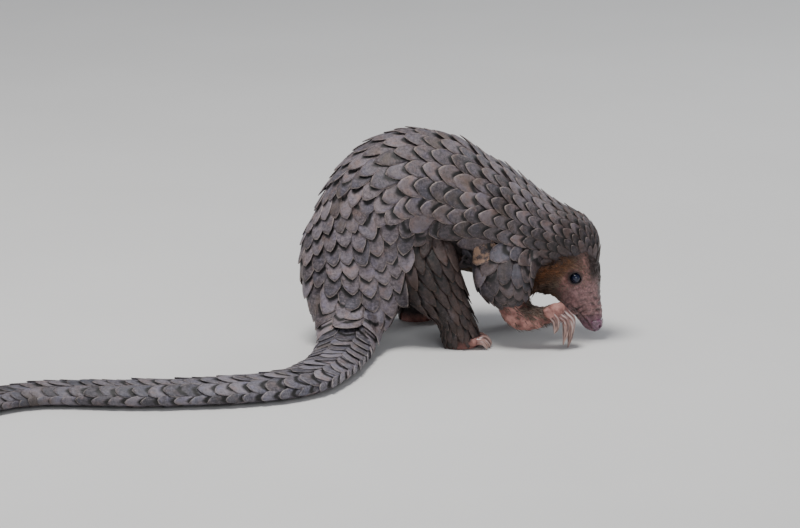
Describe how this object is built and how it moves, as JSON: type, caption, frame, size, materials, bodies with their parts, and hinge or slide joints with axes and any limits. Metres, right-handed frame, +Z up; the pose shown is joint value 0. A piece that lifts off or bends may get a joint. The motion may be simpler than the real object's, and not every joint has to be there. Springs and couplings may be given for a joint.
{
  "type": "pangolin",
  "caption": "Life-size still model of a white-bellied tree pangolin that stands hunched with its nose to the ground, body and tail covered in overlapping scales",
  "frame": {"origin": "On the floor, under the middle of the bounding box", "axes": "+Z up, +X the way the trunk and head point, +Y towards the animal's left side; the tail lies along -X and -Y"},
  "size_m": [0.6604, 0.4348, 0.2087],
  "materials": {
    "scales": "satin",
    "skin": "matte",
    "nose": "satin",
    "eye": "polished"
  },
  "bodies": {
    "root": {"torso": "scales", "neck": "scales", "head": "scales", "nose": "nose", "eye_right": "eye", "eye_left": "eye", "hind_right_leg": "scales", "hind_left_leg": "scales", "hind_right_foot": "skin", "hind_left_foot": "skin", "fore_right_arm": "scales", "fore_left_arm": "scales", "fore_right_paw": "skin", "fore_left_paw": "skin", "tail_base": "scales", "tail_middle": "scales", "tail_end": "scales", "tail_tip": "scales"}
  },
  "joints": []
}
